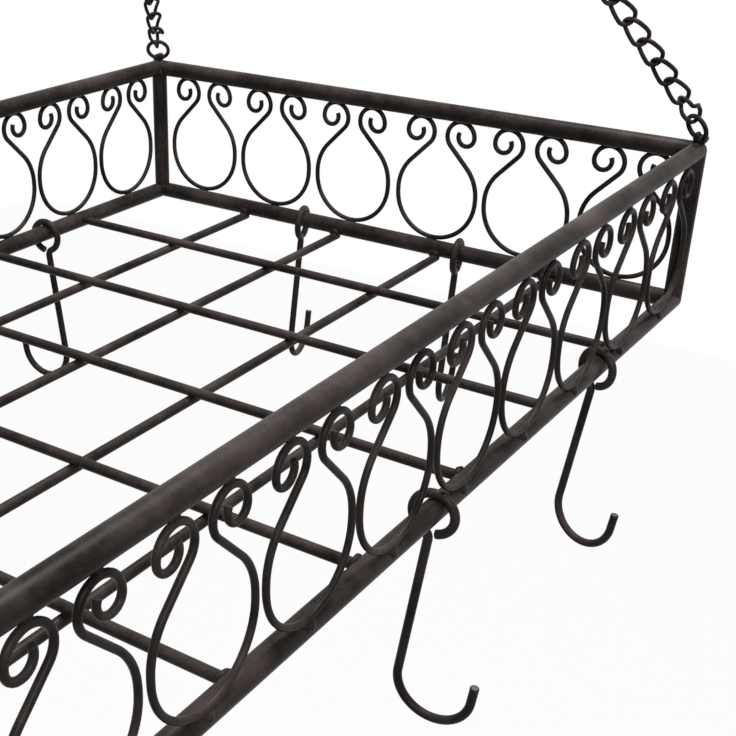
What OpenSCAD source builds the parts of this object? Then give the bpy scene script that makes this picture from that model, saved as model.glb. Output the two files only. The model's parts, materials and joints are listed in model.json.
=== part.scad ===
// Hanging pot rack.
// A rectangular frame of round tube with a grid of crossing wires for a floor and a border of wire
// scrolls on its four sides. Four twist-link chains rise from rings on its top corners to one ring on a
// ceiling hook, and pot hooks hang from its bottom rails.
// Millimetres, +Z up. The origin is where the hook's screw shank enters the ceiling, on its axis.
// +X points to the rack's right side and +Y to its back.

/* [Frame] */
// Width of the frame over its tubes
rack_width = 457; // [380:1:540]
// Length of the frame over its tubes
rack_length = 729; // [600:1:880]
// Outside diameter of the frame tube
tube_d = 12; // [10:0.5:14]
// Wall of the frame tube
tube_wall = 1.5; // [1:0.1:2.5]
// Distance between the axes of the bottom and top rails
rail_spacing = 102.4; // [99:0.1:120]

/* [Grid] */
// Diameter of the grid wires
grid_wire_d = 6; // [4:0.1:7]
// Number of wires that run along the rack
wires_along = 4; // [2:1:6]
// Number of wires that run across the rack
wires_across = 6; // [3:1:9]

/* [Scrolls] */
// Diameter of the scroll wire
scroll_wire_d = 3.4; // [2.6:0.1:4]
// Width of the round bulb of a scroll, to the wire's axis
bulb_w = 63.7; // [56:0.1:66]
// Least clear gap between two neighbouring bulbs
bulb_gap = 3; // [1:0.5:8]
// Straight side of the bulb at its widest
bulb_side = 2.1; // [0.5:0.1:3]
// Gap between the two wires at the neck, to their axes
neck_w = 10.5; // [8:0.1:14]
// Radius of the large bend of a curl, to the wire's axis
curl_r = 10.7; // [9:0.1:11.5]
// Radius of the small bend of a curl, to the wire's axis
curl_end_r = 6.3; // [5:0.1:8]
// Angle of the small bend of a curl
curl_end_angle = 207; // [150:1:230]
// Angle round the rails, out from upright, at which the scrolls rest on them
scroll_seat = 30; // [20:1:45]

/* [Corner rings] */
// Wire diameter of a corner ring
corner_ring_wire_d = 3; // [2.5:0.1:4]
// Outside diameter of a corner ring
corner_ring_od = 19.5; // [18:0.1:24]
// Lean of the back right and front left corner rings toward the middle of the rack
corner_ring_lean = 24; // [10:1:40]
// Lean of the other two corner rings toward the middle of the rack
other_ring_lean = 30; // [10:1:40]
// Shift of a corner ring's foot outward from the crossing of the top rails' axes
corner_ring_out = 3.5; // [2:0.1:4]

/* [Chains] */
// Wire diameter of a chain link
link_wire_d = 2.8; // [2.2:0.1:3]
// Outside width of a chain link
link_w = 13.5; // [12.5:0.1:15]
// Inside length of a chain link; the fitted length differs a little so that whole links fill the chain
link_pitch = 17.9; // [16:0.1:22]
// Height of the master ring's swing axis above the axes of the top rails
ring_rise = 440; // [300:1:600]

/* [Master ring] */
// Wire diameter of the master ring
ring_wire_d = 4.4; // [4:0.1:5.5]
// Radius of the master ring to its wire's axis
ring_r = 22.5; // [21:0.5:30]
// Angle from the ring's lowest point at which the chains of one end hang
chain_seat = 40; // [34:1:44]
// Angle between the two chains of one end
chain_spread = 26; // [24:1:34]

/* [Ceiling hook] */
// Wire diameter of the ceiling hook and of its screw shank
hook_wire_d = 6; // [5:0.5:7]
// Radius of the ceiling hook's bowl to its wire's axis
bowl_r = 15; // [13:0.5:20]
// Length of the screw shank inside the ceiling, without its point
screw_len = 28; // [20:1:45]
// Length of the screw's point
screw_tip = 6; // [4:0.5:10]
// Diameter of the hook's collar
collar_d = 16; // [12:0.5:22]
// Thickness of the collar
collar_t = 3; // [2:0.5:5]
// Straight neck of the hook under its collar
hook_neck = 8; // [5:0.5:20]

/* [Pot hooks] */
// Wire diameter of a pot hook
pot_wire_d = 5; // [4:0.1:5.5]
// Radius of the eye round the rail, to the wire's axis
eye_r = 11.4; // [10.5:0.1:14]
// Radius of the lower bend that holds a pot, to the wire's axis
jay_r = 21.2; // [12:0.1:26]
// Depth from the rail's axis to the wire's axis at the bottom of the lower bend
pot_drop = 120; // [95:1:160]
// Straight rise of the tip beyond the lower bend
tip_rise = 11; // [0:0.5:20]
// Place of a pot hook in the gap between two scrolls, along the rail from the gap's middle
pot_shift = 13; // [0:0.5:14]

/* [Welds] */
// Radius of the weld beads on the scroll wires
scroll_bead_r = 3.2; // [2.6:0.1:3.6]
// Shift of a scroll's weld bead outward from the point where the wire rests on the rail
scroll_bead_out = 1.5; // [0.5:0.1:2]
// Shift of a scroll's weld bead down from that point
scroll_bead_down = 1; // [0.5:0.1:2]
// Radius of the weld beads on the grid wires
grid_bead_r = 3.6; // [3:0.1:4.5]
// Radius of the weld beads under the corner rings
ring_bead_r = 4; // [3:0.1:5]

/* [Hidden] */
$fn = 32;
gap = 0.05;                               // clearance of links and rings that hang in one another
ring_gap = 1.0;                           // the same round the master ring, for the rack's swing
trim = 0.05;                              // bends and runs of a wire stop this short of their joint,
swell = 0.03;                             // where a ball this much larger than the wire joins them
steel = "#2b2624";
bead = "#322c2a";

// frame
hx = (rack_width - tube_d) / 2;           // rail axes from the middle
hy = (rack_length - tube_d) / 2;
tube_r = tube_d / 2;
bore_r = tube_r - tube_wall;

// ceiling hook, in the XZ plane, and master ring, in the YZ plane
bowl_turn = 65;                           // turn of the S neck over the bowl
bowl_neck_r = bowl_r * cos(bowl_turn) / (1 - cos(bowl_turn));
bowl_z = -collar_t - hook_neck - (bowl_r + bowl_neck_r) * sin(bowl_turn);
swing_z = bowl_z - bowl_r;                // wire axis at the bottom of the bowl
ring_z = swing_z + hook_wire_d / 2 + ring_wire_d / 2 + gap - ring_r;
sway_z = ring_z - ring_r * cos(chain_seat);

// heights of the rail axes
top_z = sway_z - ring_rise;
bottom_z = top_z - rail_spacing;

// grid: the wires along the rack lie under the wires across it, and the clear gaps are even
along_z = bottom_z - grid_wire_d;
function wire_place(half_len, n, i) =
    let (clear = (2 * half_len - tube_d - n * grid_wire_d) / (n + 1))
    half_len - tube_r - clear * i - grid_wire_d * (i - 0.5);

// scrolls: the wire rests on the outer side of both rails
seat_r = tube_r + scroll_wire_d / 2;
seat_out = seat_r * sin(scroll_seat);
seat_up = seat_r * cos(scroll_seat);
scroll_h = rail_spacing - 2 * seat_up;    // height of a scroll between its wire axes
bulb_r = bulb_w / 2;
curl_x = neck_w / 2 + curl_r;             // centre of the large curl bend from the scroll's middle
curl_up = scroll_h - curl_r;
leg_x = curl_x;                           // from the bulb's shoulder centre to the curl's centre
leg_z = curl_up - bulb_r - bulb_side;
leg_d = sqrt(leg_x * leg_x + leg_z * leg_z);
leg_run = sqrt(leg_d * leg_d - (bulb_r + curl_r) * (bulb_r + curl_r));
leg_heading = atan2(leg_z, leg_x) + asin((bulb_r + curl_r) / leg_d);
half_scroll = [[bulb_r, 90], [0, bulb_side], [bulb_r, leg_heading - 90], [0, leg_run],
               [curl_r, -leg_heading - 90], [curl_end_r, -curl_end_angle]];
scroll_path = concat([for (i = [5 : -1 : 1]) half_scroll[i]], [[bulb_r, 180]],
                     [for (i = [1 : 5]) half_scroll[i]]);
function scroll_count(half_len) =
    floor((2 * half_len - tube_d) / (bulb_w + scroll_wire_d + bulb_gap));
function scroll_pitch(half_len) = (2 * half_len - tube_d) / scroll_count(half_len);

// corners, as [x sign, y sign], and the frame's diagonal
CORNERS = [[-1, 1], [1, 1], [1, -1], [-1, -1]];
diag = sqrt(hx * hx + hy * hy);
ring_rr = (corner_ring_od - corner_ring_wire_d) / 2;

// unit vector from the corner ring's foot to its top
function ring_lean(c) = c[0] == c[1] ? corner_ring_lean : other_ring_lean;
function ring_up(c) = [-c[0] * hx / diag * sin(ring_lean(c)),
                       -c[1] * hy / diag * sin(ring_lean(c)), cos(ring_lean(c))];
// distance along that vector, from a point beside the corner, at which the ring's wire clears both rails
function ring_foot(c) =
    let (a = pow(min(hx, hy) / diag, 2), n = sin(ring_lean(c)), m = 1 - n * n,
         reach = tube_r + corner_ring_wire_d / 2 + 0.3, b = a * corner_ring_out * n, q = a * n * n + m)
    (b + sqrt(b * b - q * (a * corner_ring_out * corner_ring_out - reach * reach))) / q;
function corner_at(c, z) = [c[0] * hx, c[1] * hy, z];
function ring_base(c) = corner_at(c, top_z) + [c[0] * hx, c[1] * hy, 0] / diag * corner_ring_out;
function ring_top(c) = ring_base(c) + ring_up(c) * (ring_foot(c) + 2 * ring_rr);

// chains: the two of one end share the master ring's wire, one above the other
function seat_angle(c) = chain_seat + (c[0] == c[1] ? -1 : 1) * chain_spread / 2;
function chain_top(c) = [0, c[1] * ring_r * sin(seat_angle(c)), ring_z - ring_r * cos(seat_angle(c))];
function chain_dir(c) = let (v = chain_top(c) - ring_top(c)) v / norm(v);
function chain_span(c) = norm(chain_top(c) - ring_top(c))
    + (corner_ring_wire_d + ring_wire_d) / 2 + ring_gap;
function link_count(c) = round(chain_span(c) / link_pitch);
function fitted_pitch(c) = chain_span(c) / link_count(c);
link_r = (link_w - link_wire_d) / 2;

// pot hook, as turns and runs from its tip; extra is how much deeper than pot_drop it was bent
neck_turn = 72;
eye_turn = 325;
pot_neck_r = eye_r * cos(neck_turn) / (1 - cos(neck_turn));
eye_z = tube_r + pot_wire_d / 2 + gap - eye_r;          // the eye's top rests on the rail
shank_top = eye_z - (eye_r + pot_neck_r) * sin(neck_turn);
function pot_path(extra) =
    [[0, tip_rise], [jay_r, -180], [0, shank_top + pot_drop + extra - jay_r],
     [pot_neck_r, neck_turn], [eye_r, -eye_turn]];
function pot_start(extra) = [2 * jay_r, -pot_drop - extra + jay_r + tip_rise, -90];

// wire paths: each step is [0, length] for a straight run or [radius, turn] for a bend,
// and a place on the path is [x, z, heading]
function bend_centre(p, s) = let (k = s[1] > 0 ? 1 : -1)
    [p[0] - k * s[0] * sin(p[2]), p[1] + k * s[0] * cos(p[2])];
function next_place(p, s) = s[0] == 0
    ? [p[0] + s[1] * cos(p[2]), p[1] + s[1] * sin(p[2]), p[2]]
    : let (k = s[1] > 0 ? 1 : -1, c = bend_centre(p, s), h = p[2] + s[1])
      [c[0] + k * s[0] * sin(h), c[1] - k * s[0] * cos(h), h];
// length of a step and its first moments about the origin, as [length, x moment, z moment]
function step_moment(p, s) = s[0] == 0
    ? let (q = next_place(p, s)) [s[1], s[1] * (p[0] + q[0]) / 2, s[1] * (p[1] + q[1]) / 2]
    : let (k = s[1] > 0 ? 1 : -1, c = bend_centre(p, s), h = p[2] + s[1],
           l = s[0] * abs(s[1]) * PI / 180)
      [l, l * c[0] - s[0] * s[0] * (cos(h) - cos(p[2])), l * c[1] - s[0] * s[0] * (sin(h) - sin(p[2]))];
function path_moment(p, path, i = 0) = i == len(path) ? [0, 0, 0]
    : step_moment(p, path[i]) + path_moment(next_place(p, path[i]), path, i + 1);

// place at the end of a path
function path_end(p, path, i = 0) = i == len(path) ? p
    : path_end(next_place(p, path[i]), path, i + 1);
// the scroll's own start, at its left cut end, mirrored from the end of its right half
scroll_end = path_end([0, 0, 0], half_scroll);
scroll_start = [-scroll_end[0], scroll_end[1], -scroll_end[2]];

// lean of a pot hook that puts its weight under the rail, for its turn about the upright
function pot_lean(turn, extra) = let (m = path_moment(pot_start(extra), pot_path(extra)))
    atan2(m[1] * cos(turn), -m[2]);

// pot hooks: [side, scroll gap, place along the rail from the gap's middle as a share of pot_shift,
// turn about the upright, extra depth]. The front and left sides are the back and right ones turned
// half round.
POTS = [["back", 4, 0.47, -14, -2], ["back", 2, 0.94, -12, 2], ["right", 8, 1.1, 18, -2],
        ["right", 5, 1.1, -3, 5], ["right", 2, -0.05, -4, 0], ["front", 4, 0.47, -14, -2],
        ["front", 2, 0.94, -12, 2], ["left", 8, 1.1, 18, -2], ["left", 5, 1.1, -3, 5],
        ["left", 2, -0.05, -4, 0]];

// a bend of round wire from angle a0 to a1 about the origin, in the XY plane
module bend(r, a0, a1, d) {
    rotate([0, 0, a0]) rotate_extrude(angle = a1 - a0) translate([r, 0]) circle(d = d);
}

// bent wire in the XZ plane along a path
module wire(p, path, d, i = 0) {
    if (i < len(path)) {
        s = path[i];
        t0 = i > 0 ? trim : 0;
        t1 = i < len(path) - 1 ? trim : 0;
        if (i > 0) translate([p[0], 0, p[1]]) sphere(d = d + 2 * swell);
        if (s[0] == 0) {
            translate([p[0], 0, p[1]]) rotate([0, 90 - p[2], 0]) translate([0, 0, t0])
                cylinder(h = s[1] - t0 - t1, d = d);
        } else {
            c = bend_centre(p, s);
            k = s[1] > 0 ? 1 : -1;
            a0 = p[2] + k * (asin(t0 / s[0]) - 90);
            a1 = p[2] + s[1] - k * (asin(t1 / s[0]) + 90);
            translate([c[0], 0, c[1]]) rotate([90, 0, 0])
                bend(s[0], min(a0, a1), max(a0, a1), d);
        }
        wire(next_place(p, s), path, d, i + 1);
    }
}

// frame tube between two corners on the X axis, mitred three ways at both ends. up is 1 where the posts
// rise from it and -1 where they hang from it, and in is 1 where the rack's middle is at +Y.
module rail(half_len, up, in) {
    difference() {
        union() {
            rotate([0, 90, 0]) cylinder(h = 2 * half_len, r = tube_r, center = true);
            for (s = [-1, 1]) translate([s * half_len, 0, 0]) sphere(r = tube_r);
        }
        rotate([0, 90, 0]) cylinder(h = 2 * half_len, r = bore_r, center = true);
        for (s = [-1, 1]) translate([s * half_len, 0, 0]) {
            sphere(r = bore_r);
            mirror([s > 0 ? 1 : 0, 0, 0]) {
                // all that is nearer the tube that leaves along Y, then along Z
                mirror([0, in > 0 ? 0 : 1, 0]) rotate([0, 0, 45])
                    translate([-2 * tube_d, 0, -2 * tube_d]) cube(4 * tube_d);
                mirror([0, 0, up > 0 ? 0 : 1]) rotate([0, -45, 0])
                    translate([-2 * tube_d, -2 * tube_d, 0]) cube(4 * tube_d);
            }
        }
    }
}

module rail_at(side, z, up) {
    color(steel) translate([0, 0, z])
        if (side == "back") translate([0, hy, 0]) rail(hx, up, -1);
        else if (side == "front") translate([0, -hy, 0]) rail(hx, up, 1);
        else if (side == "right") translate([hx, 0, 0]) rotate([0, 0, 90]) rail(hy, up, 1);
        else translate([-hx, 0, 0]) rotate([0, 0, 90]) rail(hy, up, -1);
}

// corner post from the bottom rails to the top rails, mitred to both pairs
module post(c) {
    color(steel) translate(corner_at(c, bottom_z)) mirror([c[0] > 0 ? 1 : 0, 0, 0])
        mirror([0, c[1] > 0 ? 1 : 0, 0])
            difference() {
                union() {
                    cylinder(h = rail_spacing, r = tube_r);
                    for (z = [0, rail_spacing]) translate([0, 0, z]) sphere(r = tube_r);
                }
                cylinder(h = rail_spacing, r = bore_r);
                for (z = [0, rail_spacing]) translate([0, 0, z]) {
                    sphere(r = bore_r);
                    mirror([0, 0, z > 0 ? 1 : 0]) {
                        rotate([0, 45, 0]) translate([0, -2 * tube_d, -2 * tube_d])
                            cube(4 * tube_d);
                        rotate([-45, 0, 0]) translate([-2 * tube_d, 0, -2 * tube_d])
                            cube(4 * tube_d);
                    }
                }
            }
}

// grid wires, coped to the rails that they are welded to
module wire_across(i) {
    color(steel) translate([0, wire_place(hy, wires_across, i), bottom_z]) difference() {
        rotate([0, 90, 0]) cylinder(h = 2 * hx, d = grid_wire_d, center = true);
        for (s = [-1, 1]) translate([s * hx, 0, 0]) rotate([90, 0, 0])
            cylinder(h = 3 * grid_wire_d, r = tube_r, center = true);
    }
}

module wire_along(i) {
    color(steel) translate([-wire_place(hx, wires_along, i), 0, 0]) difference() {
        translate([0, 0, along_z]) rotate([90, 0, 0])
            cylinder(h = 2 * hy - tube_r, d = grid_wire_d, center = true);
        for (s = [-1, 1]) translate([0, s * hy, bottom_z]) rotate([0, 90, 0])
            cylinder(h = 3 * grid_wire_d, r = tube_r, center = true);
    }
}

// places children at a side of the frame, with local +X along the rail and +Y outward
module at_side(side) {
    if (side == "back") translate([0, hy, 0]) mirror([1, 0, 0]) children();
    else if (side == "front") translate([0, -hy, 0]) rotate([0, 0, 180]) mirror([1, 0, 0]) children();
    else if (side == "right") translate([hx, 0, 0]) rotate([0, 0, -90]) mirror([1, 0, 0]) children();
    else translate([-hx, 0, 0]) rotate([0, 0, 90]) mirror([1, 0, 0]) children();
}
function side_half(side) = side == "back" || side == "front" ? hx : hy;

// one scroll of bent wire, with the bottom of its bulb at the origin
module scroll() {
    wire(scroll_start, scroll_path, scroll_wire_d);
}

module scrolls(side) {
    n = scroll_count(side_half(side));
    p = scroll_pitch(side_half(side));
    color(steel) at_side(side) for (i = [0 : n - 1])
        translate([(i - (n - 1) / 2) * p, seat_out, bottom_z + seat_up]) scroll();
}

// weld bead at the foot of each scroll of a side, on the outer face of the bottom rail
module scroll_welds(side) {
    n = scroll_count(side_half(side));
    color(bead) at_side(side) for (i = [0 : n - 1])
        translate([(i - (n - 1) / 2) * scroll_pitch(side_half(side)), 0, 0]) difference() {
            translate([0, tube_r * sin(scroll_seat) + scroll_bead_out, bottom_z
                       + tube_r * cos(scroll_seat) - scroll_bead_down])
                sphere(r = scroll_bead_r);
            translate([0, 0, bottom_z]) rotate([0, 90, 0])
                cylinder(h = 4 * scroll_bead_r, r = tube_r, center = true);
            translate([0, seat_out, bottom_z + seat_up + bulb_r]) rotate([90, 0, 0])
                bend(bulb_r, 250, 290, scroll_wire_d);
        }
}

// weld bead on a grid wire's end, where the wire comes in along +X to a rail on the Y axis. drop is how
// far the wire lies below the rail's axis.
module wire_bead(drop) {
    difference() {
        translate([-tube_r, 0, (grid_wire_d / 2 - drop) / 2]) sphere(r = grid_bead_r);
        rotate([90, 0, 0]) cylinder(h = 3 * grid_bead_r, r = tube_r, center = true);
        translate([-2 * tube_r, 0, -drop]) rotate([0, 90, 0])
            cylinder(h = 4 * tube_r, d = grid_wire_d, center = true);
    }
}

// weld beads on the ends of the grid wires
module grid_welds() {
    color(bead) for (m = [0, 1]) {
        mirror([m, 0, 0]) for (i = [1 : wires_across])
            translate([hx, wire_place(hy, wires_across, i), bottom_z]) wire_bead(0);
        mirror([0, m, 0]) for (i = [1 : wires_along])
            translate([-wire_place(hx, wires_along, i), hy, bottom_z]) rotate([0, 0, 90])
                wire_bead(grid_wire_d);
    }
}

// places children with local +Z along the ring's upward diameter and +X level, across the diagonal
module at_ring(c) {
    translate(ring_base(c)) rotate([0, 0, atan2(-c[1] * hy, -c[0] * hx)])
        rotate([0, ring_lean(c), 0]) rotate([0, 0, 90]) children();
}

module corner_ring(c) {
    color(steel) at_ring(c) translate([0, 0, ring_foot(c) + ring_rr]) rotate([90, 0, 0])
        rotate_extrude() translate([ring_rr, 0]) circle(d = corner_ring_wire_d);
}

module ring_welds() {
    color(bead) for (c = CORNERS) difference() {
        translate(ring_base(c) + ring_up(c) * (ring_foot(c) - corner_ring_wire_d / 2))
            sphere(r = ring_bead_r);
        at_ring(c) translate([0, 0, ring_foot(c) + ring_rr]) rotate([90, 0, 0])
            rotate_extrude() translate([ring_rr, 0]) circle(d = corner_ring_wire_d);
        translate(corner_at(c, top_z)) for (a = [[0, 90, 0], [90, 0, 0]]) rotate(a)
            cylinder(h = 4 * tube_d, r = tube_r, center = true);
    }
}

// twist link from the origin along +Z, with the planes of its two ends square to each other
module link(pitch) {
    l = pitch + link_wire_d + gap;        // length between the wire axes of the two ends
    a = l / 2 - link_r;                   // from the link's middle to the start of each end bend
    k = link_r * sin(45);                 // sideways reach of an end bend's corner
    half = sqrt(k * k + a * a);           // half the chord of a side
    rise = link_r - k;                    // bulge of a side beyond its chord
    side_r = (half * half + rise * rise) / (2 * rise);
    side_a = asin(half / side_r) - asin(trim / side_r);
    end_trim = asin(trim / link_r);
    translate([0, 0, l / 2]) {
        for (e = [-1, 1]) rotate([0, 0, -e * 45]) translate([0, 0, e * a]) {
            rotate([e * 90, 0, 0]) bend(link_r, end_trim, 180 - end_trim, link_wire_d);
            for (s = [-1, 1]) translate([s * link_r, 0, 0]) sphere(d = link_wire_d + 2 * swell);
        }
        for (s = [0, 180]) rotate([0, 0, s]) translate([link_r - side_r, 0, 0])
            rotate([90 + atan2(k, a), 0, 0]) bend(side_r, -side_a, side_a, link_wire_d);
    }
}

module chain(c) {
    d = chain_dir(c);
    n = link_count(c);
    p = fitted_pitch(c);
    start = ring_top(c) - d * (corner_ring_wire_d + link_wire_d + 2 * gap) / 2;
    color(steel) translate(start) rotate([0, acos(d[2]), atan2(d[1], d[0])])
        for (i = [0 : n - 1]) translate([0, 0, i * p]) rotate([0, 0, -45]) link(p);
}

module master_ring() {
    color(steel) translate([0, 0, ring_z]) rotate([0, 90, 0])
        rotate_extrude() translate([ring_r, 0]) circle(d = ring_wire_d);
}

// hook with a screw shank and a collar, bent in the XZ plane
module ceiling_hook() {
    color(steel) {
        cylinder(h = screw_len, d = hook_wire_d);
        translate([0, 0, screw_len]) cylinder(h = screw_tip, d1 = hook_wire_d, d2 = 1);
        translate([0, 0, -collar_t]) cylinder(h = collar_t, d = collar_d);
        wire([0, -collar_t, -90],
             [[0, hook_neck], [bowl_neck_r, -bowl_turn], [bowl_r, 265]], hook_wire_d);
    }
}

// pot hook with its eye round the bottom rail of a side, in the gap between two scrolls
module pot_hook(p) {
    n = scroll_count(side_half(p[0]));
    color(steel) at_side(p[0])
        translate([(p[1] - n / 2) * scroll_pitch(side_half(p[0])) + p[2] * pot_shift, 0, bottom_z])
            rotate([-pot_lean(p[3], p[4]), 0, 0]) rotate([0, 0, 90 + p[3]])
                wire(pot_start(p[4]), pot_path(p[4]), pot_wire_d);
}

ceiling_hook();
master_ring();
rail_at("back", top_z, -1);  // top_rail_back
rail_at("right", top_z, -1);  // top_rail_right
rail_at("front", top_z, -1);  // top_rail_front
rail_at("left", top_z, -1);  // top_rail_left
rail_at("back", bottom_z, 1);  // bottom_rail_back
rail_at("right", bottom_z, 1);  // bottom_rail_right
rail_at("front", bottom_z, 1);  // bottom_rail_front
rail_at("left", bottom_z, 1);  // bottom_rail_left
post(CORNERS[0]);  // post_back_left
post(CORNERS[1]);  // post_back_right
post(CORNERS[2]);  // post_front_right
post(CORNERS[3]);  // post_front_left
wire_across(1);  // wire_across_1
wire_across(2);  // wire_across_2
wire_across(3);  // wire_across_3
wire_across(4);  // wire_across_4
wire_across(5);  // wire_across_5
wire_across(6);  // wire_across_6
wire_along(1);  // wire_along_1
wire_along(2);  // wire_along_2
wire_along(3);  // wire_along_3
wire_along(4);  // wire_along_4
scrolls("back");  // scrolls_back
scrolls("right");  // scrolls_right
scrolls("front");  // scrolls_front
scrolls("left");  // scrolls_left
corner_ring(CORNERS[0]);  // corner_ring_back_left
corner_ring(CORNERS[1]);  // corner_ring_back_right
corner_ring(CORNERS[2]);  // corner_ring_front_right
corner_ring(CORNERS[3]);  // corner_ring_front_left
chain(CORNERS[0]);  // chain_back_left
chain(CORNERS[1]);  // chain_back_right
chain(CORNERS[2]);  // chain_front_right
chain(CORNERS[3]);  // chain_front_left
scroll_welds("back");  // scroll_welds_back
scroll_welds("right");  // scroll_welds_right
scroll_welds("front");  // scroll_welds_front
scroll_welds("left");  // scroll_welds_left
grid_welds();
ring_welds();
pot_hook(POTS[0]);  // pot_hook_back_1
pot_hook(POTS[1]);  // pot_hook_back_2
pot_hook(POTS[2]);  // pot_hook_right_1
pot_hook(POTS[3]);  // pot_hook_right_2
pot_hook(POTS[4]);  // pot_hook_right_3
pot_hook(POTS[5]);  // pot_hook_front_1
pot_hook(POTS[6]);  // pot_hook_front_2
pot_hook(POTS[7]);  // pot_hook_left_1
pot_hook(POTS[8]);  // pot_hook_left_2
pot_hook(POTS[9]);  // pot_hook_left_3
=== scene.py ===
"""A pot rack that hangs from a ceiling hook: round tube, a wire grid, a border of wire scrolls,
twist-link chains and pot hooks, all in satin brown-black powder coat.

Metres, in the frame of the fixed model: +Z up, +X to the rack's right side, +Y to its back, and the
origin where the hook's screw shank meets the ceiling.
"""
import json
import math

import bpy
import numpy as np
from mathutils import Matrix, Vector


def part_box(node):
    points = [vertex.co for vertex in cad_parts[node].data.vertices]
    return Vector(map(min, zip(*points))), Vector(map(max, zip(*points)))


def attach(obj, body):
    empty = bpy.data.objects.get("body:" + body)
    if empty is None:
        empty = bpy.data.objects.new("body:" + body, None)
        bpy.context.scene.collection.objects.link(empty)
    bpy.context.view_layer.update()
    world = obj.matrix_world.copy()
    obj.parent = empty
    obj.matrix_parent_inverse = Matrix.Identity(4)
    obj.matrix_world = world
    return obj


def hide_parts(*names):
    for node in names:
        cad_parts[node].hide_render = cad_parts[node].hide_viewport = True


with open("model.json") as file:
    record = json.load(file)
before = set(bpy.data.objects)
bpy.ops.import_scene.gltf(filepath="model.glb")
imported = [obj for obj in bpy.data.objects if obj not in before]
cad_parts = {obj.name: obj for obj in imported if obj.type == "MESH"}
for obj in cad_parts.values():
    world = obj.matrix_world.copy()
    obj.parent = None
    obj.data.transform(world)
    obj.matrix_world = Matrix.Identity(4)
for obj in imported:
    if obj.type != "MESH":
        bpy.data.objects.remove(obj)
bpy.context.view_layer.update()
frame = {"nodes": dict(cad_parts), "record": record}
MM = 0.001


# ---------------------------------------------------------------- camera
# The camera stands in front of the rack's right side and looks down over the right rails to the two far
# corners. Its rows are the picture's right, down and forward directions; the lens is the fitted focal
# length in pixels over the picture's width, and the shift is the fitted centre of view.
PICTURE = 736.0
FOCAL = 1272.7
CENTRE = (242.5, 442.3)
EYE = (0.45569, -0.47638, -0.30762)
ROWS = np.array([[0.814527, 0.580121, 0.002485],
                 [0.272479, -0.378790, -0.884462],
                 [-0.512154, 0.721095, -0.466605]])


def place_camera():
    """Stands the camera at EYE with its X, Y and Z axes along the picture's right, up and back."""
    data = bpy.data.cameras.new("photograph_view")
    data.sensor_width = 36.0
    data.lens = FOCAL * data.sensor_width / PICTURE
    data.shift_x = (PICTURE / 2 - CENTRE[0]) / PICTURE
    data.shift_y = (CENTRE[1] - PICTURE / 2) / PICTURE
    data.clip_start, data.clip_end = 0.02, 30.0
    camera = bpy.data.objects.new("photograph_view", data)
    turn = np.eye(4)
    turn[:3, 0], turn[:3, 1], turn[:3, 2], turn[:3, 3] = ROWS[0], -ROWS[1], -ROWS[2], EYE
    camera.matrix_world = Matrix(turn.tolist())
    bpy.context.scene.collection.objects.link(camera)
    bpy.context.scene.camera = camera


place_camera()


# ---------------------------------------------------------------- materials
def linear(hex_colour):
    """The linear colour of an sRGB hex value: c / 12.92 below 0.04045, else ((c + 0.055) / 1.055)^2.4."""
    c = np.array([int(hex_colour[i:i + 2], 16) for i in (1, 3, 5)]) / 255.0
    return (*np.where(c < 0.04045, c / 12.92, ((c + 0.055) / 1.055) ** 2.4).tolist(), 1.0)


def add(tree, kind, inputs=None, **settings):
    """Adds a node to a tree, with its settings, and its inputs set to a value or linked from a socket."""
    made = tree.nodes.new(kind)
    for key, value in settings.items():
        setattr(made, key, value)
    for key, value in (inputs or {}).items():
        if isinstance(value, bpy.types.NodeSocket):
            tree.links.new(value, made.inputs[key])
        else:
            made.inputs[key].default_value = value
    return made


def new_material(name):
    """An empty node material and its tree."""
    material = bpy.data.materials.new(name)
    material.use_nodes = True
    material.node_tree.nodes.clear()
    return material, material.node_tree


def ramp(tree, factor, stops):
    """A colour ramp on a factor, with stops as [(position, hex colour), ...]."""
    made = add(tree, "ShaderNodeValToRGB", {"Fac": factor})
    elements = made.color_ramp.elements
    while len(elements) < len(stops):
        elements.new(0.5)
    for element, (position, colour) in zip(elements, stops):
        element.position = position
        element.color = linear(colour)
    return made.outputs["Color"]


def powder_coat(name, dark, mid, warm, grit_mm=0.9, bump_mm=0.015, rough=(0.3, 0.42)):
    """Polyester powder coat, sprayed dry and fused on steel: a satin skin with a fine orange peel. Slow
    clouds of a browner tone lie over the black, and the gloss changes a little from place to place."""
    material, tree = new_material(name)
    where = add(tree, "ShaderNodeTexCoord").outputs["Object"]
    clouds = add(tree, "ShaderNodeTexNoise", {"Vector": where, "Scale": 1 / 0.045, "Detail": 3.0,
                                              "Roughness": 0.6}).outputs["Fac"]
    specks = add(tree, "ShaderNodeTexNoise", {"Vector": where, "Scale": 1 / 0.006, "Detail": 4.0,
                                              "Roughness": 0.7}).outputs["Fac"]
    both = add(tree, "ShaderNodeMath", {0: clouds, 1: 0.7}, operation="MULTIPLY").outputs[0]
    both = add(tree, "ShaderNodeMath", {0: specks, 1: 0.3, 2: both}, operation="MULTIPLY_ADD").outputs[0]
    colour = ramp(tree, both, [(0.36, dark), (0.5, mid), (0.64, warm)])
    gloss = add(tree, "ShaderNodeMapRange", {"Value": specks, "From Min": 0.3, "From Max": 0.7,
                                             "To Min": rough[0], "To Max": rough[1]}).outputs["Result"]
    peel = add(tree, "ShaderNodeTexNoise", {"Vector": where, "Scale": 1 / (grit_mm * MM), "Detail": 2.0,
                                            "Roughness": 0.5}).outputs["Fac"]
    skin = add(tree, "ShaderNodeBump", {"Height": peel, "Distance": bump_mm * MM,
                                        "Strength": 0.6}).outputs["Normal"]
    shader = add(tree, "ShaderNodeBsdfPrincipled",
                 {"Base Color": colour, "Roughness": gloss, "Normal": skin, "IOR": 1.5,
                  "Specular IOR Level": 0.05})
    add(tree, "ShaderNodeOutputMaterial", {"Surface": shader.outputs["BSDF"]})
    return material


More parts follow.
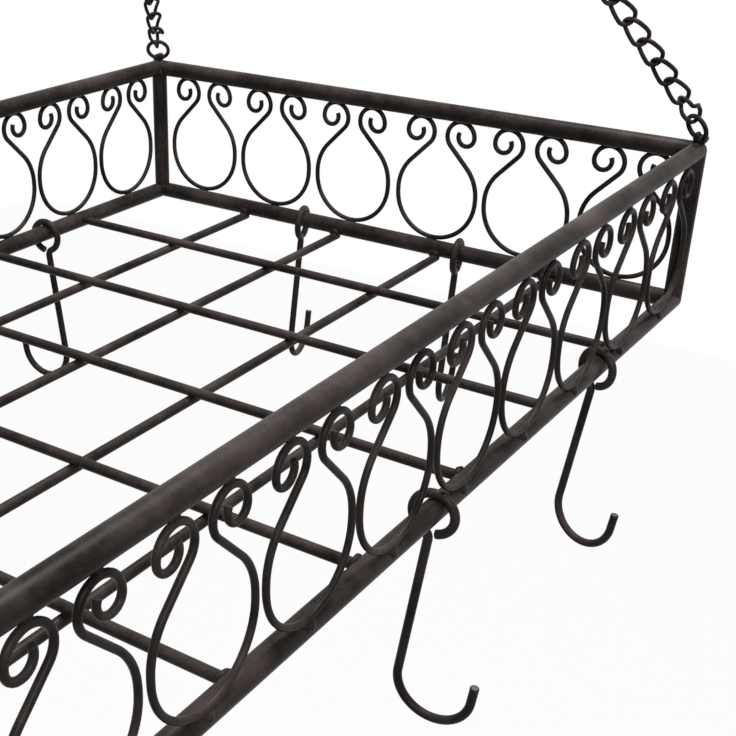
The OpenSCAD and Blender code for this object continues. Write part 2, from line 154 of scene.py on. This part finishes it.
coat = powder_coat("powder_coated_steel", "#16110f", "#292422", "#3a3230")
weld_coat = powder_coat("powder_coated_weld", "#120e0d", "#241f1d", "#352e2b", grit_mm=1.6, bump_mm=0.12)
cut_coat = powder_coat("powder_coated_cut_end", "#4a4542", "#5d5754", "#6f6966", grit_mm=0.6, bump_mm=0.05,
                       rough=(0.45, 0.6))

for name, piece in frame["nodes"].items():
    piece.data.materials.clear()
    piece.data.materials.append(weld_coat if "_welds" in name else coat)


# ---------------------------------------------------------------- sizes, in mm as the makers give them
def middle_of(node):
    """The middle of a node's box, in mm."""
    low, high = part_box(node)
    return (np.array(low) + np.array(high)) / 2 / MM


HX = middle_of("top_rail_right")[0]
HY = middle_of("top_rail_back")[1]
TOP_Z = middle_of("top_rail_back")[2]
BOTTOM_Z = middle_of("bottom_rail_back")[2]
JOINT_AT = {joint["name"]: np.array(joint["pos_m"]) / MM for joint in frame["record"]["behaviour"]["joints"]}
TUBE_R, SCROLL_R, LINK_WIRE_R, POT_R, GRID_R = 6.0, 1.7, 1.4, 2.5, 3.0
SIDES = {"back": ((0, HY, 0), (-1, 0, 0), (0, 1, 0), HX), "front": ((0, -HY, 0), (1, 0, 0), (0, -1, 0), HX),
         "right": ((HX, 0, 0), (0, 1, 0), (1, 0, 0), HY), "left": ((-HX, 0, 0), (0, -1, 0), (-1, 0, 0), HY)}
UP = np.array([0.0, 0.0, 1.0])


def at_side(side, along, out, height):
    """Points given by their place along a rail, their distance out from its axis, and their height."""
    origin, run, outward, _ = (np.array(v, float) for v in SIDES[side])
    along, out, height = np.broadcast_arrays(along, out, height)
    return origin + along[..., None] * run + out[..., None] * outward + height[..., None] * UP


# ---------------------------------------------------------------- surfaces
def quads_between(rings, sides, closed=False):
    """The faces of a grid of rings: (i, j), (i, j + 1), (i + 1, j + 1), (i + 1, j), with j going round."""
    i = np.arange(rings if closed else rings - 1)[:, None]
    j = np.arange(sides)[None, :]
    k, l = (i + 1) % rings, (j + 1) % sides
    return np.stack([i * sides + j, i * sides + l, k * sides + l, k * sides + j], -1).reshape(-1, 4)


def closed_ends(rings, sides):
    """The fans that close the first and last rings, round two middle points that follow the grid."""
    j = np.arange(sides)
    l = (j + 1) % sides
    first, last, base = rings * sides, rings * sides + 1, (rings - 1) * sides
    return np.concatenate([np.stack([np.full(sides, first), l, j], 1),
                           np.stack([np.full(sides, last), base + j, base + l], 1)])


def bent_wire(line, across, radius, sides, edge=0.4):
    """Round wire along an open line: point = line + r (cos a u + sin a w), where u is the part of `across`
    square to the line and w is the line's direction x u. Both ends are cut square and their rim is a
    quarter round: at angle f its depth is edge (1 - sin f) and its radius r - edge (1 - cos f)."""
    f = np.radians([90.0, 60.0, 30.0, 0.0])
    depth, shrink = edge * (1 - np.sin(f)), edge * (1 - np.cos(f))
    head = (line[1] - line[0]) / np.linalg.norm(line[1] - line[0])
    tail = (line[-1] - line[-2]) / np.linalg.norm(line[-1] - line[-2])
    centre = np.concatenate([line[0] + depth[:, None] * head, line[1:-1],
                             line[-1] - depth[::-1, None] * tail])
    way = np.gradient(line, axis=0)
    way = np.concatenate([np.repeat(head[None], 4, 0), way[1:-1], np.repeat(tail[None], 4, 0)])
    r = np.full(len(centre), radius)
    r[:4] -= shrink
    r[-4:] -= shrink[::-1]
    points = rings_round(centre, way, across, r, sides)
    points = np.concatenate([points.reshape(-1, 3), line[:1], line[-1:]])
    return points, quads_between(len(centre), sides), closed_ends(len(centre), sides)


def rings_round(centre, way, across, radius, sides):
    """A ring of points round every centre, square to its way."""
    way = way / np.linalg.norm(way, axis=1)[:, None]
    u = across - (across * way).sum(1)[:, None] * way
    u /= np.linalg.norm(u, axis=1)[:, None]
    w = np.cross(way, u)
    a = np.arange(sides) * 2 * np.pi / sides
    spoke = np.cos(a)[None, :, None] * u[:, None] + np.sin(a)[None, :, None] * w[:, None]
    return centre[:, None] + radius[:, None, None] * spoke


def plane_line(x, z, heading, steps, spacing):
    """The middle line of bent wire in its own plane. A step (0, length) runs straight on. A step
    (radius, turn) goes round a centre that lies radius to the left for a positive turn, and to the
    right for a negative one: point = centre +- radius (sin h, -cos h), as the heading h turns."""
    h, runs = math.radians(heading), [np.array([[x, z]])]
    for radius, amount in steps:
        if radius == 0:
            s = np.linspace(0, amount, max(2, round(amount / spacing)) + 1)[1:]
            run = np.stack([x + s * np.cos(h), z + s * np.sin(h)], 1)
        else:
            turn, k = math.radians(amount), math.copysign(1, amount)
            a = h + np.linspace(0, turn, max(6, math.ceil(radius * abs(turn) / spacing)) + 1)[1:]
            run = np.stack([x + k * radius * (np.sin(a) - np.sin(h)),
                            z - k * radius * (np.cos(a) - np.cos(h))], 1)
            h += turn
        x, z = run[-1]
        runs.append(run)
    return np.concatenate(runs)


def bead(place, shape, rows=9, columns=14):
    """A lumpy weld bead: a sphere (sin p cos q, cos p, sin p sin q) whose radius swells and sinks by sums
    of sines of the two angles, handed to `shape` to be set on the metal. `place` seeds its lumps."""
    phase = np.random.default_rng(place).uniform(0, 2 * np.pi, 4)
    p = np.linspace(0, np.pi, rows + 2)[1:-1, None]
    q = np.arange(columns)[None, :] * 2 * np.pi / columns
    swell = 1 + np.sin(p) * (0.09 * np.sin(2 * q + phase[0]) + 0.07 * np.sin(3 * q + phase[1]) +
                             0.05 * np.sin(5 * q + 4 * p + phase[2])) + 0.06 * np.sin(3 * p + phase[3])
    x, y, z = swell * np.sin(p) * np.cos(q), swell * np.cos(p), swell * np.sin(p) * np.sin(q)
    points = shape(np.append(x, [0, 0]), np.append(y, [1, -1]), np.append(z, [0, 0]))
    return outward(points, quads_between(rows, columns), closed_ends(rows, columns))


def outward(points, quads, fans):
    """Turns every face round where the shell's signed volume, the sum of a . (b x c) / 6, is negative."""
    faces = np.concatenate([fans, quads[:, :3], quads[:, [0, 2, 3]]])
    a, b, c = points[faces[:, 0]], points[faces[:, 1]], points[faces[:, 2]]
    if (a * np.cross(b, c)).sum() - (points.mean(0) * np.cross(b - a, c - a)).sum() < 0:
        return points, quads[:, ::-1], fans[:, ::-1]
    return points, quads, fans


def make_piece(name, shells, body, nodes, finish, end_finish=None):
    """One object of closed shells, in metres, with smooth sides. The fans at the ends are flat and take
    end_finish where it is given."""
    points, faces, flat, start = [], [], [], 0
    for shell, quads, fans in shells:
        points.append(shell * MM)
        faces += (quads + start).tolist() + (fans + start).tolist()
        flat += [False] * len(quads) + [True] * len(fans)
        start += len(shell)
    mesh = bpy.data.meshes.new(name)
    mesh.from_pydata(np.concatenate(points).tolist(), [], faces)
    mesh.materials.append(finish)
    flat = np.array(flat)
    rounded = np.ones(len(flat), bool) if end_finish is None and finish is weld_coat else ~flat
    mesh.polygons.foreach_set("use_smooth", rounded)
    if end_finish is not None:
        mesh.materials.append(end_finish)
        mesh.polygons.foreach_set("material_index", flat.astype(np.int32))
    mesh.update()
    made = bpy.data.objects.new(name, mesh)
    bpy.context.scene.collection.objects.link(made)
    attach(made, body)
    if nodes:
        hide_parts(*nodes)
    return made


# ---------------------------------------------------------------- scrolls
BULB_R, BULB_SIDE, NECK_W, CURL_R, CURL_END_R = 31.85, 2.1, 10.5, 10.7, 6.3
SEAT = math.radians(30)
SEAT_OUT, SEAT_UP = (TUBE_R + SCROLL_R) * math.sin(SEAT), (TUBE_R + SCROLL_R) * math.cos(SEAT)
SCROLL_H = TOP_Z - BOTTOM_Z - 2 * SEAT_UP
CURL_X = NECK_W / 2 + CURL_R


def scroll_count(half):
    """How many scrolls fill a side whose rail axes end at +-half."""
    return int((2 * half - 2 * TUBE_R) // (2 * BULB_R + 2 * SCROLL_R + 3))


def scroll_feet(half):
    """The places of a side's scrolls along its rail."""
    n = scroll_count(half)
    return (np.arange(n) - (n - 1) / 2) * (2 * half - 2 * TUBE_R) / n


def scroll_line():
    """Half of the bulb, its leg and its curl, and the same mirrored for the other half. The leg leaves the
    bulb and meets the curl as the tangent that crosses between their two circles."""
    rise = SCROLL_H - CURL_R - BULB_R - BULB_SIDE
    apart = math.hypot(CURL_X, rise)
    leg = math.sqrt(apart ** 2 - (BULB_R + CURL_R) ** 2)
    heading = math.degrees(math.atan2(rise, CURL_X) + math.asin((BULB_R + CURL_R) / apart))
    half = plane_line(0, 0, 0, [(BULB_R, 90), (0, BULB_SIDE), (BULB_R, heading - 90), (0, leg),
                                (CURL_R, -heading - 90), (CURL_END_R, -207)], 1.7)
    return np.concatenate([half[:0:-1] * (-1, 1), half])


def scrolls(side):
    """A row of scrolls. Hand bending leaves each one a little sheared along the rail, x + k z, and a
    little wider or narrower, while its foot and its curls stay on the rails."""
    hand = np.random.default_rng(len(side) * 7 + ord(side[0]))
    line, shells = scroll_line(), []
    across = np.array(SIDES[side][2], float)
    for foot in scroll_feet(SIDES[side][3]):
        shear, widen = hand.normal(0, 0.008), 1 + hand.normal(0, 0.006)
        x, z = line[:, 0] * widen + shear * line[:, 1], line[:, 1]
        points = at_side(side, foot + x, SEAT_OUT, BOTTOM_Z + SEAT_UP + z)
        shells.append(outward(*bent_wire(points, across[None], SCROLL_R, 12)))
    make_piece("wire_scrolls_" + side, shells, "rack", ["scrolls_" + side], coat, coat)


for side in SIDES:
    scrolls(side)


# ---------------------------------------------------------------- chains
CORNERS = {"back_left": (-1, 1), "back_right": (1, 1), "front_right": (1, -1), "front_left": (-1, -1)}
LINK_R, LINK_WIRE, PITCH, GAP = 5.35, 2.8, 17.9, 0.05


def link_line(pitch, share, reach):
    """The middle line of a twist link: two half circles joined by straight sides, then turned about the
    link's length by -45 degrees times (1 + share (1.5 q - 0.5 q^3)), where q goes from -1 to 1 with the
    height, and reaches them at `reach` of the end's radius past the straight sides."""
    length = pitch + LINK_WIRE + GAP
    a = length / 2 - LINK_R
    t = np.linspace(0, np.pi, 13)[:-1]
    s = np.linspace(-1, 1, 9)[:-1] * a
    x = np.concatenate([LINK_R * np.cos(t), np.full(8, -LINK_R), -LINK_R * np.cos(t), np.full(8, LINK_R)])
    z = np.concatenate([a + LINK_R * np.sin(t), -s, -a - LINK_R * np.sin(t), s])
    q = np.clip(z / (a + reach * LINK_R), -1, 1)
    turn = -np.pi / 4 * (1 + share * (1.5 * q - 0.5 * q ** 3))
    return np.stack([x * np.cos(turn), x * np.sin(turn), z + length / 2], 1)


def chain(corner):
    """A taut chain of links from the top of its corner ring to its seat on the master ring. The end links
    are twisted sharply, so that they clear the rings as they swing, and the others more softly."""
    cx, cy = CORNERS[corner]
    diagonal = math.hypot(HX, HY)
    lean = math.radians(24 if cx == cy else 30)
    n, m, a = math.sin(lean), math.cos(lean) ** 2, (min(HX, HY) / diagonal) ** 2
    b, q = a * 3.5 * n, a * n * n + m
    foot = (b + math.sqrt(b * b - q * (a * 3.5 ** 2 - 7.8 ** 2))) / q
    outward_way = np.array([cx * HX, cy * HY, 0]) / diagonal
    ring_top = np.array([cx * HX, cy * HY, TOP_Z]) + outward_way * 3.5
    ring_top = ring_top + (UP * math.cos(lean) - outward_way * n) * (foot + 16.5)
    seat = math.radians(40 - 13 * cx * cy)
    ring_z = JOINT_AT["rack_swing"][2] + 22.5 * math.cos(math.radians(40))
    chain_top = np.array([0, cy * 22.5 * math.sin(seat), ring_z - 22.5 * math.cos(seat)])
    way = (chain_top - ring_top) / np.linalg.norm(chain_top - ring_top)
    span = np.linalg.norm(chain_top - ring_top) + (3 + 4.4) / 2 + 1
    count = round(span / PITCH)
    flat = np.array([way[0], way[1], 0]) / math.hypot(way[0], way[1])
    turn = np.stack([flat * way[2] - UP * math.hypot(way[0], way[1]), np.cross(UP, flat), way])
    links, shells = [], []
    for share, reach in ((0.6, 0.9), (1.0, 0.0)):
        line = link_line(span / count, share, reach)
        link = rings_round(line, np.roll(line, -1, 0) - np.roll(line, 1, 0),
                           line - (0, 0, line[:, 2].mean()), np.full(len(line), LINK_WIRE / 2), 8)
        links.append(link.reshape(-1, 3))
    start = ring_top - way * (3 + LINK_WIRE + 2 * GAP) / 2
    quads, none = quads_between(len(line), 8, True), np.zeros((0, 3), int)
    for i in range(count):
        points = start + (links[int(i in (0, count - 1))] + (0, 0, i * span / count)) @ turn
        shells.append(outward(points, quads, none))
    make_piece("twist_chain_" + corner, shells, "rack", ["chain_" + corner], coat)


for corner in CORNERS:
    chain(corner)


# ---------------------------------------------------------------- pot hooks
EYE_R, JAY_R, POT_DROP, TIP_RISE, NECK_TURN, EYE_TURN = 11.4, 21.2, 120.0, 11.0, 72.0, 325.0
NECK_R = EYE_R * math.cos(math.radians(NECK_TURN)) / (1 - math.cos(math.radians(NECK_TURN)))
POTS = {"back_1": (-14, -2), "back_2": (-12, 2), "right_1": (18, -2), "right_2": (-3, 5), "right_3": (-4, 0)}


def pot_hook(name, turn, extra):
    """A pot hook bent in one plane: tip, lower bend, shank, S neck and eye. It is turned about the
    upright, leans so that its weight is under the rail, and hangs at its joint's place."""
    side = name.split("_")[0]
    eye_z = TUBE_R + POT_R + GAP - EYE_R
    shank_top = eye_z - (EYE_R + NECK_R) * math.sin(math.radians(NECK_TURN))
    steps = [(0, TIP_RISE), (JAY_R, -180), (0, shank_top + POT_DROP + extra - JAY_R), (NECK_R, NECK_TURN),
             (EYE_R, -EYE_TURN)]
    line = plane_line(2 * JAY_R, -POT_DROP - extra + JAY_R + TIP_RISE, -90, steps, 1.6)
    step = np.linalg.norm(np.diff(line, axis=0), axis=1)
    weight = ((line[1:] + line[:-1]) / 2 * step[:, None]).sum(0) / step.sum()
    yaw = math.radians(90 + turn)
    lean = -math.atan2(weight[0] * math.sin(yaw), -weight[1])
    along, out = line[:, 0] * math.cos(yaw), line[:, 0] * math.sin(yaw)
    out, height = (out * math.cos(lean) - line[:, 1] * math.sin(lean),
                   out * math.sin(lean) + line[:, 1] * math.cos(lean))
    origin, run, outward_way, _ = (np.array(v, float) for v in SIDES[side])
    place = ((JOINT_AT["swing_" + name] - origin) * run).sum()
    points = at_side(side, along + place, out, BOTTOM_Z + height)
    plane = np.cross(points[30] - points[2], points[60] - points[2])
    shell = outward(*bent_wire(points, (plane / np.linalg.norm(plane))[None], POT_R, 20, 0.55))
    make_piece("wire_pot_hook_" + name, [shell], "pot_hook_" + name, ["pot_hook_" + name],
               coat, cut_coat)


for name, (turn, extra) in POTS.items():
    pot_hook(name, turn, extra)
    pot_hook(name.replace("back", "front").replace("right", "left"), turn, extra)


# ---------------------------------------------------------------- weld beads
def on_rail(side, place, height, angle, reach, width, thick, taper=0.0):
    """A bead on a rail, in the rail's own round coordinates: angle round its axis out from upright, by
    reach to each side, thick above and below its skin, and width along it, narrowing down by taper."""
    def shape(x, y, z):
        b = np.radians(angle + reach * z)
        r = TUBE_R + thick * y
        return at_side(side, place + width * x * (1 - taper * z), r * np.sin(b), height + r * np.cos(b))
    return shape


def lump(centre, axes):
    """A bead of three half axes, in mm, round a point."""
    return lambda x, y, z: np.array(centre) + np.stack([x, y, z], -1) * np.array(axes)


def scroll_beads():
    """Under each bulb's foot a gusset runs down the rail's outer face, and a small bead holds each curl
    to the top rail."""
    shells = []
    for number, side in enumerate(SIDES):
        for i, foot in enumerate(scroll_feet(SIDES[side][3])):
            seed = 100 * number + 3 * i
            shells.append(bead(seed, on_rail(side, foot, BOTTOM_Z, 52, 34, 4.0, 1.5, 0.35)))
            for k, x in enumerate((-CURL_X, CURL_X)):
                shells.append(bead(seed + 1 + k, on_rail(side, foot + x, TOP_Z, 146, 16, 2.8, 1.2),
                                   rows=7, columns=10))
    make_piece("scroll_beads", shells, "rack", ["scroll_welds_" + side for side in SIDES],
               weld_coat)


def grid_beads():
    """Beads round the ends of the grid wires, where they meet the rails."""
    shells, seed = [], 900
    for name in sorted(frame["nodes"]):
        if not name.startswith("wire_a"):
            continue
        x, y, z = middle_of(name)
        for end in (-1, 1):
            seed += 1
            if name.startswith("wire_across"):
                shells.append(bead(seed, lump((end * (HX - TUBE_R + 0.2), y, z + 1.2), (2.6, 4.7, 3.9))))
            else:
                shells.append(bead(seed, lump((x - 1.0, end * (HY - TUBE_R + 0.6), z + 3.2), (4.4, 2.8, 3.4))))
    make_piece("grid_beads", shells, "rack", ["grid_welds"], weld_coat)


def ring_beads():
    """Beads under the corner rings and small ones in the inner corners of the rails."""
    shells, seed = [], 1300
    for corner, (cx, cy) in CORNERS.items():
        foot = np.array([cx * HX, cy * HY, TOP_Z + 7.4]) + np.array([cx, cy, 0]) * 0.8
        shells.append(bead(seed, lump(foot, (4.7, 4.7, 3.6))))
        shells.append(bead(seed + 1, lump(foot + (-cx * 2.0, -cy * 1.4, 1.8), (3.0, 3.1, 2.9))))
        for k, z in enumerate((TOP_Z, BOTTOM_Z)):
            inner = (cx * (HX - TUBE_R + 0.6), cy * (HY - TUBE_R + 0.6), z + (2.6 if k else -2.6))
            shells.append(bead(seed + 2 + k, lump(inner, (2.2, 2.2, 2.8))))
        seed += 10
    make_piece("corner_beads", shells, "rack", ["ring_welds"], weld_coat)


scroll_beads()
grid_beads()
ring_beads()


# ---------------------------------------------------------------- studio
def pale_surface(name, hex_colour, seen):
    """Matt studio paper: its own shade under the lamps, and white by the share `seen` where the camera, a
    gloss or a clear material looks at it, so that the object's shadow still shows on it."""
    material, tree = new_material(name)
    paper = add(tree, "ShaderNodeBsdfDiffuse", {"Color": linear(hex_colour)}).outputs["BSDF"]
    white = add(tree, "ShaderNodeEmission", {"Color": (1, 1, 1, 1), "Strength": 1.0}).outputs["Emission"]
    share = add(tree, "ShaderNodeMath", {0: looked_at(tree), 1: seen}, operation="MULTIPLY").outputs[0]
    both = add(tree, "ShaderNodeMixShader", {0: share, 1: paper, 2: white}).outputs["Shader"]
    add(tree, "ShaderNodeOutputMaterial", {"Surface": both})
    return material


def looked_at(tree):
    """1 for a ray from the camera, a gloss or a clear material, and 0 for the light's own rays."""
    ray = add(tree, "ShaderNodeLightPath")
    seen = add(tree, "ShaderNodeMath", {0: ray.outputs["Is Camera Ray"],
                                        1: ray.outputs["Is Glossy Ray"]}, operation="MAXIMUM").outputs[0]
    return add(tree, "ShaderNodeMath", {0: seen, 1: ray.outputs["Is Transmission Ray"]},
               operation="MAXIMUM").outputs[0]


def studio_floor():
    """A level sheet, 8 m square, at the height of a kitchen floor under the rack."""
    size, level = 4.0, -2.2
    mesh = bpy.data.meshes.new("studio_floor")
    mesh.from_pydata([(-size, -size, level), (size, -size, level), (size, size, level),
                      (-size, size, level)], [], [(0, 1, 2, 3)])
    floor = bpy.data.objects.new("studio_floor", mesh)
    mesh.materials.append(pale_surface("studio_paper", "#9a9a9a", 0.97))
    bpy.context.scene.collection.objects.link(floor)


def lamp(name, place, target, size, watts):
    """A square soft lamp that faces a point."""
    data = bpy.data.lights.new(name, "AREA")
    data.shape, data.size, data.energy = "SQUARE", size, watts
    made = bpy.data.objects.new(name, data)
    back = np.array(place, float) - np.array(target, float)
    back /= np.linalg.norm(back)
    side = np.cross((0.0, 1.0, 0.001), back)
    side /= np.linalg.norm(side)
    turn = np.eye(4)
    turn[:3, 0], turn[:3, 1], turn[:3, 2], turn[:3, 3] = side, np.cross(back, side), back, place
    made.matrix_world = Matrix(turn.tolist())
    bpy.context.scene.collection.objects.link(made)


def white_world(level):
    """A white surround for the camera, gloss and clear materials, and a softer one for the light."""
    world = bpy.data.worlds.new("white_surround")
    bpy.context.scene.world = world
    world.use_nodes = True
    tree = world.node_tree
    tree.nodes.clear()
    strength = add(tree, "ShaderNodeMapRange", {"Value": looked_at(tree), "To Min": level,
                                                "To Max": 1.0}).outputs["Result"]
    sky = add(tree, "ShaderNodeBackground", {"Color": (1, 1, 1, 1), "Strength": strength}).outputs[0]
    add(tree, "ShaderNodeOutputWorld", {"Surface": sky})


studio_floor()
white_world(0.015)
middle = (0.0, 0.0, -0.55)
lamp("overhead_softbox", (0.1, 0.5, 1.3), middle, 1.1, 95.0)
lamp("side_softbox", (1.5, -1.4, 0.6), middle, 0.7, 40.0)
bpy.context.scene.view_settings.view_transform = "Standard"
